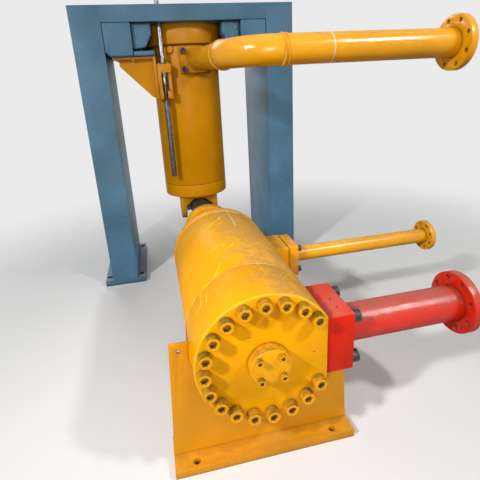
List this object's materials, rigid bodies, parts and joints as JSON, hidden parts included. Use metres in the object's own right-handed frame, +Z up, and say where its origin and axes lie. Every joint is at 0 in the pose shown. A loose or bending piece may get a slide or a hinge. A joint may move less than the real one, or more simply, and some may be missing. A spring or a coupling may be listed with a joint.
{
  "type": "injection group of an upright die casting machine",
  "caption": "Lower hydraulic injection group of an upright die casting machine: bed, shot cylinder, level drive cylinder, pipe lines and a gauge rod.",
  "frame": {"origin": "on the floor under the axis of the upright shot cylinder, at the centre of the anchor holes of the bed", "axes": "+X to the right seen from the bolted end of the drive cylinder, toward the pipe ends; +Y from the bolted end toward the bed; +Z up"},
  "size_m": [1.84, 2.2416, 1.81],
  "materials": {
    "yellow_paint": "brushed enamel, chipped and dusty",
    "red_paint": "brushed enamel, dusty on top",
    "blue_paint": "satin paint on rough casting",
    "dark_steel": "oiled black steel",
    "bright_steel": "ground bare steel"
  },
  "bodies": {
    "machine": {"bed_left_column": "blue_paint", "bed_right_column": "blue_paint", "bed_left_wall": "blue_paint", "bed_right_wall": "blue_paint", "bed_back_wall": "blue_paint", "bed_top_plate": "blue_paint", "bed_ledges": "blue_paint", "cast_lugs": "blue_paint", "shot_collar": "yellow_paint", "shot_barrel": "yellow_paint", "shot_bottom_cap": "yellow_paint", "shot_port_block": "yellow_paint", "link_bracket": "yellow_paint", "link_pin": "dark_steel", "drive_head": "yellow_paint", "drive_head_screws": "yellow_paint", "boss_cover": "yellow_paint", "boss_screws": "yellow_paint", "drive_barrel": "yellow_paint", "drive_rear_ring": "yellow_paint", "drive_neck": "yellow_paint", "drive_gland": "yellow_paint", "piston_rod": "bright_steel", "rod_eye": "dark_steel", "front_saddle": "yellow_paint", "rear_saddle": "yellow_paint", "red_flange_block": "red_paint", "red_flange_bolts": "dark_steel", "red_pipe": "red_paint", "red_end_flange": "red_paint", "slim_pad": "yellow_paint", "slim_flange": "yellow_paint", "slim_flange_bolts": "dark_steel", "slim_pipe": "yellow_paint", "slim_end_flange": "yellow_paint", "shot_line_flange": "yellow_paint", "shot_line_bolts": "dark_steel", "shot_line_pipe": "yellow_paint", "shot_line_end_flange": "yellow_paint", "gusset_bracket": "yellow_paint", "guide_block": "yellow_paint", "guide_screws": "dark_steel"},
    "gauge": {"gauge_rod": "bright_steel", "gauge_tube": "dark_steel", "gauge_nut": "bright_steel"}
  },
  "joints": [
    {"name": "gauge_slide", "type": "slide", "parent": "machine", "child": "gauge", "axis": [0, 0, 1], "range_m": [0, 0.022]}
  ]
}
